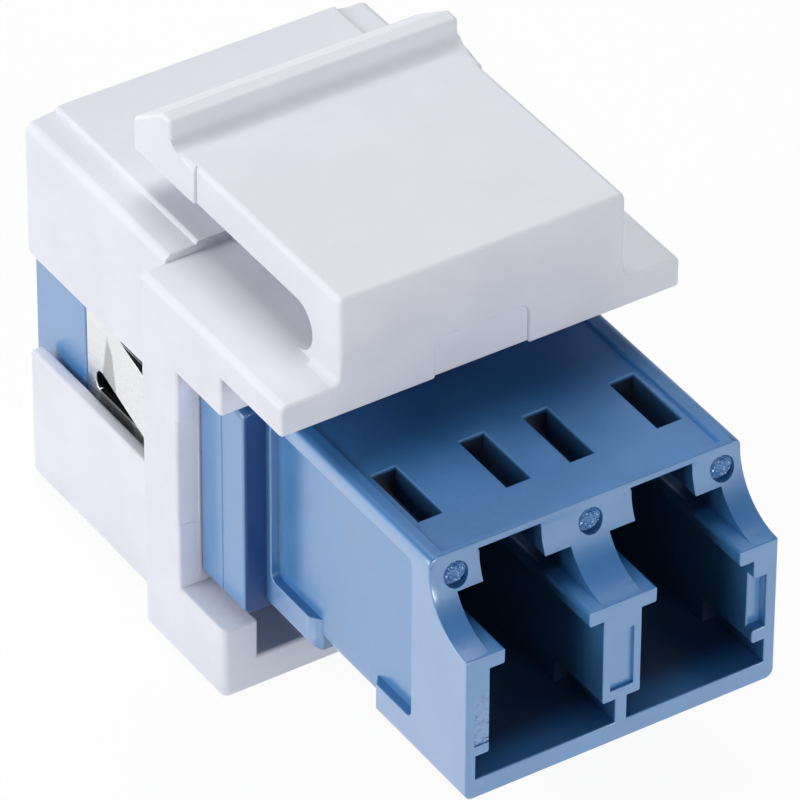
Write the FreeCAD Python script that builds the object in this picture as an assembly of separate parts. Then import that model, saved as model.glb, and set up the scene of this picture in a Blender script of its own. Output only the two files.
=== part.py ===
import FreeCAD, Part
import math
import os

V = FreeCAD.Vector

# Driving dimensions in millimetres and degrees. X runs across the two ports, +Y points out
# through the panel and +Z is up. The origin lies in the panel seat plane, midway between
# the two fibre axes.

# Plug ports of the adapter, centred on the fibre axes
port_pitch = 6.25
port_width = 4.66
port_height = 4.66
foot_width = 5.75
foot_height = 1.0
foot_depth = 3.0
neck_width = 3.44
neck_height = 0.67
catch_room_width = 4.66
catch_room_height = 1.28
lever_slot_width = 2.54
lever_slot_height = 1.2
lock_window_width = 1.02
lock_window_offset = 1.81
lock_window_start = 4.62
lock_window_length = 3.04
catch_room_margin = 0.45

# Blue adapter housing, two equal halves that meet in the seam
half_length = 14.37
seat_to_seam = 3.88
body_width = 12.9
body_floor = 0.83
body_roof = 0.34
body_edge_radius = 0.35
brow_land = 0.42
flange_overhang = 0.91
flange_depth = 1.48
flange_drop = 0.15
flange_corner_radius = 0.35
panel_depth = 0.34
panel_rim = 0.73
panel_corner_radius = 0.3
front_band = 3.5
flange_rim = 0.28
bar_height = 1.33
front_bar_length = 2.65
rear_bar_length = 2.95
bar_end_chamfer = 0.45
top_sink = 0.16
top_rim = 0.73
top_front_strip = 0.3
mark_radius = 0.45
mark_spacing = 5.46
mark_shift = 0.1
mark_drop = 0.9
mark_depth = 0.1
pocket_depth = 0.4
web_pocket_width = 0.95
web_pocket_bottom = -0.86
web_pocket_height = 2.53
side_pocket_wall = 0.43
side_pocket_bottom = -0.73
side_pocket_height = 2.28

# Ceramic sleeves and the barrels that trap them
ferrule_diameter = 1.25
sleeve_wall = 0.185
sleeve_length = 6.8
sleeve_slit = 0.25
sleeve_clearance = 0.04
sleeve_end_play = 0.1
barrel_wall = 0.5
barrel_lip = 0.4
barrel_lead_clearance = 0.06
barrel_lead_flare = 0.25
bulkhead = 1.0

# White keystone holder
axis_to_base = 6.83
holder_height = 15.67
collar_edge_radius = 0.3
shoulder_width = 1.0
nose_length = 9.65
nose_lift = 0.12
nose_edge_radius = 0.35
strip_rise = 0.28
pad_width = 11.9
pad_rise = 0.17
pad_edge_radius = 0.16
cavity_wall = 0.57
cavity_clearance = 0.2
cavity_side_clearance = 0.23
window_height = 4.38
window_centre = 1.16
window_start = 1.4
window_flare = 0.12
window_flare_length = 0.55
seat_ring_height = 0.06
seat_ring_margin = 0.04
column_sink = 0.15
column_sink_height = 4.6
column_sink_centre = 1.37
lip_reach = 9.27
lip_thickness = 1.32
lip_relief_width = 3.84
lip_relief_rise = 0.37
lip_relief_depth = 0.12
shelf_reach = 5.3
shelf_wall = 1.47
shelf_gap = 0.42
shelf_corner_radius = 0.3
gusset_gap = 0.2
tray_floor = 1.45
tray_ceiling = 0.6
tray_core_length = 5.75

# Sprung latch arm of the holder
latch_width = 11.78
latch_gap = 2.08
latch_root = 1.7
latch_foot_radius = 0.35
arm_thickness = 1.53
arm_reach = 4.1
catch_widening = 0.12
catch_front = 1.6
catch_land = 0.62
catch_height = 1.0
catch_fillet = 0.55
tip_height = 1.28

# Spring steel clip in the side panels of the rear half
clip_thickness = 0.3
clip_clearance = 0.02
clip_end_play = 0.05
strap_bend_radius = 0.4
lance_height = 2.23
lance_drop = 0.14
lance_top_margin = 2.38
lance_foot_margin = 1.04
lance_angle = 12.0
lance_tip_play = 0.1
lance_slot = 0.9
lance_slot_radius = 0.4
lance_cut = 0.12
lance_slot_overrun = 0.45

# Levels and stations that follow from the sizes above
port_floor = -port_height / 2
neck_bottom = port_floor + port_height
catch_room_bottom = neck_bottom + neck_height
lever_slot_bottom = catch_room_bottom + catch_room_height
lever_slot_top = lever_slot_bottom + lever_slot_height
body_bottom = port_floor - body_floor
body_top = lever_slot_top + body_roof
scoop_level = body_top - brow_land
brow_radius = scoop_level - catch_room_bottom
body_side = body_width / 2
panel_side = body_side - panel_depth
panel_bottom = body_bottom + bar_height
panel_top = body_top - panel_rim
flange_width = body_width + 2 * flange_overhang
flange_bottom = body_bottom - flange_drop
flange_top = body_top - flange_drop
seam = -seat_to_seam
front_end = seam - half_length
panel_front = front_end + front_band
panel_back = seam - flange_depth - flange_rim
strap_gap_front = panel_front + front_bar_length
strap_gap_back = panel_back - rear_bar_length
lock_window_front = front_end + lock_window_start
catch_room_end = lock_window_front + lock_window_length + catch_room_margin
ferrule_radius = ferrule_diameter / 2
sleeve_radius = ferrule_radius + sleeve_wall
sleeve_seat_radius = sleeve_radius + sleeve_clearance
sleeve_seat_half = sleeve_length / 2 + sleeve_end_play
barrel_radius = sleeve_seat_radius + barrel_wall
barrel_reach = sleeve_seat_half + barrel_lip
port_axes = (-port_pitch / 2, port_pitch / 2)

base = -axis_to_base
plate_top = base + holder_height
plate_bottom = plate_top - lip_thickness
nose_bottom = base + nose_lift
strip_top = plate_top + strip_rise
pad_top = strip_top + pad_rise
ring_front = seam + flange_depth
collar_front = ring_front + seat_ring_height
seat_ring_width = flange_width + 2 * seat_ring_margin
cavity_side = body_side + cavity_side_clearance
nose_width = 2 * (cavity_side + cavity_wall)
collar_width = nose_width + 2 * shoulder_width
cavity_bottom = body_bottom - cavity_clearance
cavity_top = body_top + cavity_clearance
shelf_top = flange_bottom - shelf_gap
gusset_bottom = flange_top + gusset_gap
shelf_inside = collar_width / 2 - shelf_wall
tray_top = cavity_bottom - tray_ceiling
slot_radius = latch_gap / 2
arm_bottom = plate_top + latch_gap
arm_top = arm_bottom + arm_thickness
hinge_station = -lip_reach + latch_root + slot_radius
clip_back = 2 * seam - panel_front - clip_end_play
lance_top_root = clip_back - lance_top_margin
lance_foot_root = clip_back - lance_foot_margin
lance_bottom = window_centre - lance_drop - lance_height / 2
lance_top = lance_bottom + lance_height
lance_tip = window_start + lance_tip_play


def block(x, y, z):
    """Block between two limits on each axis."""
    return Part.makeBox(x[1] - x[0], y[1] - y[0], z[1] - z[0], V(x[0], y[0], z[0]))


def wide_block(width, y, z):
    """Block centred on the middle plane."""
    return block((-width / 2, width / 2), y, z)


def rounded(solid, radius, direction, wanted=lambda centre: True):
    """Round the straight edges that run along one direction and whose middle is wanted."""
    edges = [
        edge
        for edge in solid.Edges
        if abs(edge.tangentAt(edge.FirstParameter).dot(direction)) > math.cos(math.radians(1))
        and wanted(edge.CenterOfMass)
    ]
    return solid.makeFillet(radius, edges)


def bar(width, y, z, radius):
    """Bar along Y with four rounded long edges."""
    return rounded(wide_block(width, y, z), radius, V(0, 1, 0))


def side_prism(outline, width):
    """Closed outline of the Y-Z plane carried across a width about the middle plane."""
    face = Part.Face(Part.Wire(outline))
    face.translate(V(-width / 2, 0, 0))
    return face.extrude(V(width, 0, 0))


def side_lines(points):
    """Straight edges through points given as Y and Z."""
    corners = [V(0, y, z) for y, z in points]
    return [Part.makeLine(a, b) for a, b in zip(corners, corners[1:])]


def both_sides(solid):
    """A solid together with its mirror image across the middle plane."""
    return [solid, solid.mirror(V(0, 0, 0), V(1, 0, 0))]


def port_keyway():
    """Stepped opening of one port above the plug body, drawn as a symmetric outline."""
    steps = (
        (neck_width, neck_bottom, catch_room_bottom),
        (catch_room_width, catch_room_bottom, lever_slot_bottom),
        (lever_slot_width, lever_slot_bottom, lever_slot_top),
    )
    right = []
    for width, low, high in steps:
        right.append(V(width / 2, front_end, low))
        right.append(V(width / 2, front_end, high))
    left = [V(-corner.x, corner.y, corner.z) for corner in reversed(right)]
    face = Part.Face(Part.makePolygon(right + left + right[:1]))
    return face.extrude(V(0, catch_room_end - front_end, 0))


def port_room():
    """Space of one port: plug body, lead-in foot, keyway and the two lock windows."""
    depth = (front_end, seam - bulkhead)
    plug = wide_block(port_width, depth, (port_floor, neck_bottom))
    foot = wide_block(foot_width, (front_end, front_end + foot_depth), (port_floor, port_floor + foot_height))
    near = lock_window_offset - lock_window_width / 2
    window = block(
        (near, near + lock_window_width),
        (lock_window_front, lock_window_front + lock_window_length),
        (lever_slot_bottom - body_roof, body_top + body_roof),
    )
    return plug.multiFuse([foot, port_keyway()] + both_sides(window))


def barrel():
    """Tube on one fibre axis that carries half of a ceramic sleeve."""
    tip = V(0, seam - barrel_reach, 0)
    return Part.makeCylinder(barrel_radius, barrel_reach, tip, V(0, 1, 0))


def barrel_bore():
    """Seat of the sleeve and the funnel in front of it that leads a ferrule in."""
    along = V(0, 1, 0)
    seat_start = V(0, seam - sleeve_seat_half, 0)
    seat = Part.makeCylinder(sleeve_seat_radius, sleeve_seat_half, seat_start, along)
    lead_radius = ferrule_radius + barrel_lead_clearance
    mouth_radius = lead_radius + barrel_lead_flare
    tip = V(0, seam - barrel_reach, 0)
    funnel = Part.makeCone(mouth_radius, lead_radius, barrel_lip, tip, along)
    return seat.fuse(funnel)


def housing_shell():
    """Solid outside of one half: body with a scooped brow, and half of the flange."""
    body = wide_block(body_width, (front_end, seam), (body_bottom, body_top))
    scoop = Part.makeCylinder(brow_radius, body_width, V(-body_side, front_end, scoop_level), V(1, 0, 0))
    above = wide_block(body_width, (front_end, front_end + brow_radius), (scoop_level, body_top))
    body = body.cut(scoop).cut(above)
    body = rounded(body, body_edge_radius, V(0, 1, 0), lambda c: abs(c.x) > panel_side)
    upright = V(0, 0, 1)
    body = rounded(body, body_edge_radius, upright, lambda c: abs(c.x) > panel_side and c.z < scoop_level)
    flange = bar(flange_width, (seam - flange_depth, seam), (flange_bottom, flange_top), flange_corner_radius)
    return body.fuse(flange)


def side_panel():
    """Sunk panel on the +X side, open towards the strap gap below it."""
    outside = (panel_side, body_side + panel_depth)
    panel = block(outside, (panel_front, panel_back), (panel_bottom, panel_top))
    return rounded(panel, panel_corner_radius, V(1, 0, 0))


def strap_gap():
    """Channel between the bars that lets a clip strap pass under the body."""
    core_bottom = body_bottom + panel_depth
    near = V(panel_side, strap_gap_front, body_bottom)
    far = V(panel_side, strap_gap_back, body_bottom)
    flare = V(panel_depth, bar_end_chamfer, 0)
    back_flare = V(panel_depth, -bar_end_chamfer, 0)
    right = [near, near + back_flare, far + flare, far]
    left = [V(-corner.x, corner.y, corner.z) for corner in reversed(right)]
    room = Part.Face(Part.makePolygon(right + left + right[:1])).extrude(V(0, 0, bar_height))
    flared = (strap_gap_front - bar_end_chamfer, strap_gap_back + bar_end_chamfer)
    core = bar(2 * panel_side, flared, (core_bottom, body_top), strap_bend_radius)
    return room.cut(core)


def moulding_recesses():
    """Shallow sunk places of one half: roof field, ejector marks and front wall pockets."""
    roof_field = wide_block(
        body_width - 2 * top_rim,
        (front_end + brow_radius + top_front_strip, panel_back),
        (body_top - top_sink, body_top + top_sink),
    )
    mark_start = V(mark_shift, front_end + brow_radius / 2, body_top - mark_drop)
    mark_length = brow_radius / 2 + mark_depth
    marks = [
        Part.makeCylinder(mark_radius, mark_length, mark_start + V(x, 0, 0), V(0, 1, 0))
        for x in (-mark_spacing, 0, mark_spacing)
    ]
    pocket_end = front_end + pocket_depth
    web_levels = (web_pocket_bottom, web_pocket_bottom + web_pocket_height)
    web_pocket = wide_block(web_pocket_width, (front_end, pocket_end), web_levels)
    side_limits = (port_axes[1], body_side - side_pocket_wall)
    side_levels = (side_pocket_bottom, side_pocket_bottom + side_pocket_height)
    side_pocket = block(side_limits, (front_end, pocket_end), side_levels)
    return [roof_field, web_pocket, side_pocket] + marks


def front_housing():
    """Blue half that faces away from the panel."""
    recesses = moulding_recesses() + both_sides(side_panel()) + [strap_gap()]
    rooms = [port_room().translated(V(x, 0, 0)) for x in port_axes]
    barrels = [barrel().translated(V(x, 0, 0)) for x in port_axes]
    bores = [barrel_bore().translated(V(x, 0, 0)) for x in port_axes]
    open_shell = housing_shell().cut(recesses + rooms)
    return open_shell.multiFuse(barrels).cut(bores).removeSplitter()


def rear_housing():
    """Equal blue half, turned round on the other side of the seam."""
    return front_housing().mirror(V(0, seam, 0), V(0, 1, 0))


def split_sleeve(x):
    """Ceramic tube with a lengthwise slit on top, centred on the seam."""
    start = V(x, seam - sleeve_length / 2, 0)
    tube = Part.makeCylinder(sleeve_radius, sleeve_length, start, V(0, 1, 0))
    bore = Part.makeCylinder(ferrule_radius, sleeve_length, start, V(0, 1, 0))
    slit = wide_block(sleeve_slit, (start.y, start.y + sleeve_length), (0, 2 * sleeve_radius))
    return tube.cut([bore, slit.translated(V(x, 0, 0))])


def lance_opening(plate_x):
    """Cut-out round the lance in the +X side plate."""
    low = lance_bottom - lance_slot
    high = lance_top + lance_cut
    fold = [(lance_top_root, high), (lance_top_root, lance_top), (lance_foot_root, lance_bottom)]
    points = fold + [(lance_foot_root, low), (lance_tip - lance_slot, low), (lance_tip - lance_slot, high)]
    face = Part.Face(Part.Wire(side_lines(points + points[:1])))
    face.translate(V(plate_x[0], 0, 0))
    field = face.extrude(V(plate_x[1] - plate_x[0], 0, 0))
    slot = block(plate_x, (lance_tip, lance_foot_root + lance_slot_overrun), (low, lance_bottom))
    slot = rounded(slot, lance_slot_radius, V(1, 0, 0), lambda c: c.y > lance_foot_root)
    return field.fuse(slot)


def lance(inner):
    """Tongue folded out of the +X side plate about a slanted line, free towards the collar."""
    points = [(lance_top_root, lance_top), (lance_foot_root, lance_bottom)]
    points += [(lance_tip, lance_bottom), (lance_tip, lance_top)]
    face = Part.Face(Part.Wire(side_lines(points + points[:1])))
    face.translate(V(inner, 0, 0))
    tongue = face.extrude(V(clip_thickness, 0, 0))
    fold = V(0, lance_foot_root - lance_top_root, lance_bottom - lance_top)
    tongue.rotate(V(inner, lance_top_root, lance_top), fold, -lance_angle)
    return tongue


def mounting_clip():
    """Steel saddle: a strap under the rear half and two side plates with a lance each."""
    front = 2 * seam - panel_back + clip_end_play
    strap_back = 2 * seam - strap_gap_front - clip_end_play
    strap_front = 2 * seam - strap_gap_back + clip_end_play
    inner = panel_side + clip_clearance
    outer = inner + clip_thickness
    inner_bottom = body_bottom + panel_depth - clip_clearance
    plate_bottom_edge = panel_bottom + clip_end_play
    plate_top_edge = panel_top - clip_end_play
    length = (front, clip_back)
    outer_radius = strap_bend_radius + clip_thickness
    shell = bar(2 * outer, length, (inner_bottom - clip_thickness, body_top), outer_radius)
    core = bar(2 * inner, length, (inner_bottom, 2 * body_top), strap_bend_radius)
    above = wide_block(2 * flange_width, length, (plate_top_edge, 2 * body_top))
    below = (2 * body_bottom, plate_bottom_edge)
    before = wide_block(2 * flange_width, (front, strap_front), below)
    behind = wide_block(2 * flange_width, (strap_back, clip_back), below)
    corner_room = panel_corner_radius
    saddle = shell.cut([core, above, before, behind])
    saddle = rounded(
        saddle,
        corner_room,
        V(1, 0, 0),
        lambda c: abs(c.x) > inner and (c.y < front + corner_room or c.y > clip_back - corner_room),
    )
    saddle = saddle.cut(both_sides(lance_opening((inner - clip_thickness, outer + clip_thickness))))
    return saddle.multiFuse(both_sides(lance(inner))).removeSplitter()


def holder_block():
    """Outside of the holder: collar, nose with its raised pad and the seat ring."""
    levels = (base, plate_top)
    collar = bar(collar_width, (collar_front, 0), levels, collar_edge_radius)
    nose = bar(nose_width, (0, nose_length), (nose_bottom, strip_top), nose_edge_radius)
    pad = wide_block(pad_width, (0, nose_length), (cavity_top, pad_top))
    pad = rounded(pad, pad_edge_radius, V(0, 1, 0), lambda c: c.z > strip_top)
    ring = wide_block(seat_ring_width, (ring_front, 0), (flange_bottom, flange_top))
    return collar.multiFuse([nose, pad, ring])


def lip_plate():
    """Plate on top of the collar that ends in the lip behind the panel."""
    reach = (-lip_reach, collar_front + collar_edge_radius)
    plate = wide_block(collar_width, reach, (plate_bottom, plate_top))
    plate = rounded(plate, collar_edge_radius, V(0, 1, 0), lambda c: c.z > plate_bottom)
    relief_top = plate_top + lip_relief_rise
    relief_reach = (-lip_reach, -lip_reach + lip_relief_depth)
    relief = wide_block(lip_relief_width, relief_reach, (plate_bottom, relief_top))
    relief = rounded(relief, lip_relief_rise, V(0, 1, 0), lambda c: c.z > plate_top)
    gusset = block(
        (shelf_inside, collar_width / 2),
        (-shelf_reach, collar_front + collar_edge_radius),
        (gusset_bottom, plate_bottom),
    )
    return plate.multiFuse([latch_root_block()] + both_sides(gusset)).cut(relief)


def latch_root_block():
    """Front wall of the latch: it rises from the plate and turns into the arm."""
    under = V(0, hinge_station, arm_bottom)
    slot_end = V(0, hinge_station - slot_radius, plate_top + slot_radius)
    foot = V(0, hinge_station, plate_top)
    corners = [(hinge_station, plate_top), (-lip_reach, plate_top), (-lip_reach, arm_top)]
    corners += [(hinge_station, arm_top), (hinge_station, arm_bottom)]
    outline = side_lines(corners)
    outline.append(Part.Arc(under, slot_end, foot).toShape())
    root = side_prism(outline, latch_width)
    radius = latch_foot_radius
    centre = latch_width / 2 + radius
    foot_reach = (-lip_reach, -lip_reach + latch_root)
    wedge = block((latch_width / 2, centre), foot_reach, (plate_top, plate_top + radius))
    hollow = Part.makeCylinder(radius, latch_root, V(centre, -lip_reach, plate_top + radius), V(0, 1, 0))
    return root.multiFuse(both_sides(wedge.cut(hollow)))


def hook_tray():
    """Bottom hook block: a floor and two side walls, open in front and on top."""
    reach = (-shelf_reach, collar_front + collar_edge_radius)
    tray = wide_block(collar_width, reach, (base, shelf_top))
    tray = rounded(tray, collar_edge_radius, V(0, 1, 0), lambda c: c.z < shelf_top)
    tray = rounded(tray, shelf_corner_radius, V(0, 0, 1), lambda c: c.y < collar_front)
    room = wide_block(2 * shelf_inside, reach, (base + tray_floor, shelf_top))
    return tray.cut(room)


def side_window():
    """Opening through both side walls of the nose, its upper edge flared at the open end."""
    low = window_centre - window_height / 2
    high = window_centre + window_height / 2
    flare_start = nose_length - window_flare_length
    points = [(window_start, low), (nose_length, low), (nose_length, high + window_flare)]
    points += [(flare_start, high), (window_start, high)]
    return side_prism(side_lines(points + points[:1]), 2 * nose_width)


def keystone_holder():
    """White moulding that snaps into the panel and holds the adapter."""
    cavity = wide_block(2 * cavity_side, (ring_front, nose_length), (cavity_bottom, cavity_top))
    core_width = 2 * (shelf_inside - cavity_wall)
    core = wide_block(core_width, (collar_front, tray_core_length), (base + tray_floor, tray_top))
    sink_low = column_sink_centre - column_sink_height / 2
    sink = block(
        (seat_ring_width / 2, collar_width / 2),
        (collar_front, collar_front + column_sink),
        (sink_low, sink_low + column_sink_height),
    )
    solid = holder_block().multiFuse([lip_plate(), hook_tray()])
    return solid.cut([cavity, core, side_window()] + both_sides(sink)).removeSplitter()


def keystone_latch():
    """Arm of the latch from its bend to the free end, with the catch ridge across it."""
    catch_top = arm_top + catch_height
    catch_back = catch_front + catch_land
    fillet_foot = V(0, catch_front - catch_fillet, arm_top)
    turn = catch_fillet * (1 - math.sqrt(0.5))
    fillet_middle = V(0, catch_front - turn, arm_top + turn)
    fillet_head = V(0, catch_front, arm_top + catch_fillet)
    points = [(catch_front, fillet_head.z), (catch_front, catch_top), (catch_back, catch_top)]
    points += [(arm_reach, arm_bottom + tip_height), (arm_reach, arm_bottom), (hinge_station, arm_bottom)]
    points += [(hinge_station, arm_top), (fillet_foot.y, arm_top)]
    outline = side_lines(points)
    outline.append(Part.Arc(fillet_foot, fillet_middle, fillet_head).toShape())
    profile = side_prism(outline, latch_width + 2 * catch_widening)
    levels = (arm_bottom, catch_top)
    arm_plan = wide_block(latch_width, (hinge_station, 0), levels)
    catch_plan = wide_block(latch_width + 2 * catch_widening, (0, arm_reach), levels)
    return profile.common(arm_plan.fuse(catch_plan)).removeSplitter()


nodes = {
    "keystone_holder": keystone_holder(),
    "keystone_latch": keystone_latch(),
    "front_housing": front_housing(),
    "rear_housing": rear_housing(),
    "mounting_clip": mounting_clip(),
    "split_sleeve_left": split_sleeve(port_axes[0]),
    "split_sleeve_right": split_sleeve(port_axes[1]),
}

os.makedirs("parts", exist_ok=True)
for name, shape in nodes.items():
    shape.exportStep("parts/" + name + ".step")
    print(name, len(shape.Solids), round(shape.Volume, 2), shape.isValid())
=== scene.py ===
# %% [markdown]
# Keystone fibre optic adapter, dressed for the camera.
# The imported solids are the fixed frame. This lesson copies the ones that can be seen, rounds their edges
# the way a mould does, adds the small traces that moulding leaves, and gives each plastic its own finish.

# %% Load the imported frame
import math

import bmesh
import bpy
from mathutils import Matrix, Vector


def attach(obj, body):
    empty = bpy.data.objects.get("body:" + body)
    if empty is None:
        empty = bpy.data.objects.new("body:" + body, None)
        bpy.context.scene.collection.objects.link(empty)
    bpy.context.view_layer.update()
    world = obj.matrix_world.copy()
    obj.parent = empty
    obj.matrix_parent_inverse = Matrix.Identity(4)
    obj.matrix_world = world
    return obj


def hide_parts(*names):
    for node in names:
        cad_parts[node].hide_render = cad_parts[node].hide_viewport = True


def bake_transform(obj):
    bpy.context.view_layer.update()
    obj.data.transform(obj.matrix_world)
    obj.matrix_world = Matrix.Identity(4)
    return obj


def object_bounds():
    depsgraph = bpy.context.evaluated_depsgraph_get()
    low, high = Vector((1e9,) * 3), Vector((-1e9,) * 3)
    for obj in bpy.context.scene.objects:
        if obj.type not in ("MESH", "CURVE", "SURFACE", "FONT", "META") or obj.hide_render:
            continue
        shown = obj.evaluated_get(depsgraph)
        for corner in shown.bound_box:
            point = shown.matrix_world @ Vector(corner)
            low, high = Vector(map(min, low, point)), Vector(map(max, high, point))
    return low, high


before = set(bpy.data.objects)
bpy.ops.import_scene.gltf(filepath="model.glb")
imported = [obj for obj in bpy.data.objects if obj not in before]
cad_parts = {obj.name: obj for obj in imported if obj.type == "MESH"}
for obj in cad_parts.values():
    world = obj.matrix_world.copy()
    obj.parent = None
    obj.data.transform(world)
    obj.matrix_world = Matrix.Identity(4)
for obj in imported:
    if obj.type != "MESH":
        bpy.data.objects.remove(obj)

MM = 0.001
scene = bpy.context.scene
cad_low, cad_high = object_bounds()
print("CAD box in mm", [round(value / MM, 2) for value in (*cad_low, *cad_high)])

# %% [markdown]
# The camera comes first, because every comparison with the photograph depends on it.
# A long lens from the left, in front and above shows the port side, one side wall and the latch.
# Its place was solved from the straight edges of the object, so the numbers are simply set here.

# %% Camera at the photograph's viewing angle
PHOTO_WIDTH = 800
LENS_PIXELS = 8382
AZIMUTH = math.radians(-32.80)
ELEVATION = math.radians(37.30)
ROLL = math.radians(0.27)
CAMERA_PLACE = Vector((-128.187, -202.905, 182.727)) * MM
NEAREST_SEEN = 10 * MM

back = Vector((
    math.sin(AZIMUTH) * math.cos(ELEVATION),
    -math.cos(AZIMUTH) * math.cos(ELEVATION),
    math.sin(ELEVATION),
))
level = Vector((0, 0, 1)).cross(back).normalized()
upright = back.cross(level)
right = level * math.cos(ROLL) + upright * math.sin(ROLL)
top = upright * math.cos(ROLL) - level * math.sin(ROLL)

camera_data = bpy.data.cameras.new("camera")
camera_data.lens = camera_data.sensor_width * LENS_PIXELS / PHOTO_WIDTH
camera_data.clip_start = NEAREST_SEEN
camera = bpy.data.objects.new("camera", camera_data)
scene.collection.objects.link(camera)
camera.matrix_world = Matrix.Translation(CAMERA_PLACE) @ Matrix((right, top, back)).transposed().to_4x4()
scene.camera = camera
print("lens", round(camera_data.lens, 1), "mm")

# %% [markdown]
# The stage is a pale floor under soft lamps. Camera and mirror rays see the floor and the room as plain
# white, as in a catalogue picture, while the light that falls on the object stays at an ordinary level.
# The floor keeps a share of its shaded paper, so the object still has its shadow.

# %% Helpers for rays
def link(tree, start, end):
    tree.links.new(start, end)


def calc(tree, operation, first, second):
    """Math node on sockets or plain numbers."""
    node = tree.nodes.new("ShaderNodeMath")
    node.operation = operation
    for socket, value in zip(node.inputs, (first, second)):
        if isinstance(value, (int, float)):
            socket.default_value = value
        else:
            link(tree, value, socket)
    return node.outputs[0]


def seen_directly(tree):
    """One for camera, glossy and transmission rays, else zero."""
    path = tree.nodes.new("ShaderNodeLightPath")
    either = calc(tree, "MAXIMUM", path.outputs["Is Camera Ray"], path.outputs["Is Glossy Ray"])
    return calc(tree, "MAXIMUM", either, path.outputs["Is Transmission Ray"])


def choose(tree, share, first, second, output):
    """Mix of two shaders on a tree's output."""
    mix = tree.nodes.new("ShaderNodeMixShader")
    link(tree, share, mix.inputs["Fac"])
    link(tree, first.outputs[0], mix.inputs[1])
    link(tree, second.outputs[0], mix.inputs[2])
    link(tree, mix.outputs[0], tree.nodes.new(output).inputs["Surface"])


# %% Room
ROOM_TONE, ROOM_LIGHT = (0.93, 0.96, 1.0), 0.13
WHITE, FULL_LIGHT = (1, 1, 1), 1.0


def background(tree, tone, strength):
    node = tree.nodes.new("ShaderNodeBackground")
    node.inputs["Color"].default_value = (*tone, 1)
    node.inputs["Strength"].default_value = strength
    return node


scene.view_settings.view_transform = "Standard"
world = bpy.data.worlds.new("studio room")
scene.world = world
world.use_nodes = True
room = world.node_tree
room.nodes.clear()
soft_room = background(room, ROOM_TONE, ROOM_LIGHT)
white_room = background(room, WHITE, FULL_LIGHT)
choose(room, seen_directly(room), soft_room, white_room, "ShaderNodeOutputWorld")
print("room", world.name)

# %% Floor
FLOOR_SIZE = 4
FLOOR_GAP = 0.02 * MM
PAPER_TONE = (0.86, 0.86, 0.87)
SHADOW_SHARE = 0.06

bpy.ops.object.select_all(action="DESELECT")
bpy.ops.mesh.primitive_plane_add(size=FLOOR_SIZE, location=(0, 0, cad_low.z - FLOOR_GAP))
floor = bpy.context.object
floor.name = "floor"
paper = bpy.data.materials.new("pale floor")
paper.use_nodes = True
sheet = paper.node_tree
sheet.nodes.clear()
matt = sheet.nodes.new("ShaderNodeBsdfDiffuse")
matt.inputs["Color"].default_value = (*PAPER_TONE, 1)
glow = sheet.nodes.new("ShaderNodeEmission")
glow.inputs["Strength"].default_value = FULL_LIGHT
glow_share = calc(sheet, "MULTIPLY", seen_directly(sheet), 1 - SHADOW_SHARE)
choose(sheet, glow_share, matt, glow, "ShaderNodeOutputMaterial")
floor.data.materials.append(paper)
print("floor at", round(floor.location.z / MM, 2), "mm")

# %% [markdown]
# Three soft square lamps light the object. The strongest stands on the left, so the side walls are the
# brightest faces. One above lights the tops. The weakest is smaller and stands low in front, so that its
# light also reaches in under the ports, to the hook at the bottom.
# Each is given by its direction and by how bright a white face turned towards it would be.

# %% Soft lamps
LAMP_DISTANCE = 0.5
LAMP_SIZE = 0.32
LOW_LAMP_SIZE = 0.15


def soft_lamp(name, direction, brightness, size=LAMP_SIZE):
    """Square lamp that lights a white face turned towards it to a brightness."""
    data = bpy.data.lights.new(name, "AREA")
    data.size = size
    data.energy = brightness * (math.pi * LAMP_DISTANCE) ** 2
    lamp = bpy.data.objects.new(name, data)
    scene.collection.objects.link(lamp)
    lamp.location = Vector(direction).normalized() * LAMP_DISTANCE
    lamp.rotation_euler = (-lamp.location).to_track_quat("-Z", "Y").to_euler()


soft_lamp("left lamp", (-0.89, 0.24, 0.39), 0.70)
soft_lamp("top lamp", (0.1, 0.35, 0.93), 0.60)
soft_lamp("front lamp", (0.06, -0.99, 0.10), 0.43, LOW_LAMP_SIZE)
print("lamps", [(lamp.name, round(lamp.energy, 2)) for lamp in bpy.data.lights])

# %% [markdown]
# The finishes share two effects, so each is built once as a node group and placed in every material that
# shows it. The first is the skin of a moulding: a fine grain from the tool and soft clouds where the melt
# flowed. Noise on Object coordinates gives both, and so the pattern stays put on every piece.

# %% Small helpers for shader nodes
def noise(tree, place, scale, detail):
    node = tree.nodes.new("ShaderNodeTexNoise")
    node.inputs["Scale"].default_value = scale
    node.inputs["Detail"].default_value = detail
    link(tree, place, node.inputs["Vector"])
    return node.outputs["Fac"]


def spread(tree, value, low, high, to_low=0.0, to_high=1.0):
    """Smooth step of a value from one range to another."""
    node = tree.nodes.new("ShaderNodeMapRange")
    node.interpolation_type = "SMOOTHSTEP"
    for name, number in zip(("From Min", "From Max", "To Min", "To Max"), (low, high, to_low, to_high)):
        node.inputs[name].default_value = number
    link(tree, value, node.inputs["Value"])
    return node.outputs["Result"]


def stretched(tree, place, scale, turn=(0, 0, 0)):
    """Place turned and scaled, so that noise on it is drawn out into lines."""
    node = tree.nodes.new("ShaderNodeMapping")
    node.inputs["Rotation"].default_value = turn
    node.inputs["Scale"].default_value = scale
    link(tree, place, node.inputs["Vector"])
    return node.outputs["Vector"]


# %% Shared effects as node groups
def new_group(name, *results):
    """Empty group with a Place input and named value outputs."""
    tree = bpy.data.node_groups.new(name, "ShaderNodeTree")
    tree.interface.new_socket("Place", in_out="INPUT", socket_type="NodeSocketVector")
    for result in results:
        tree.interface.new_socket(result, in_out="OUTPUT", socket_type="NodeSocketFloat")
    start = tree.nodes.new("NodeGroupInput")
    end = tree.nodes.new("NodeGroupOutput")
    return tree, start.outputs["Place"], end.inputs


GRAIN_SCALE = 8000
CLOUD_SCALE = 380
MID_RANGE = (0.3, 0.7)

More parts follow.
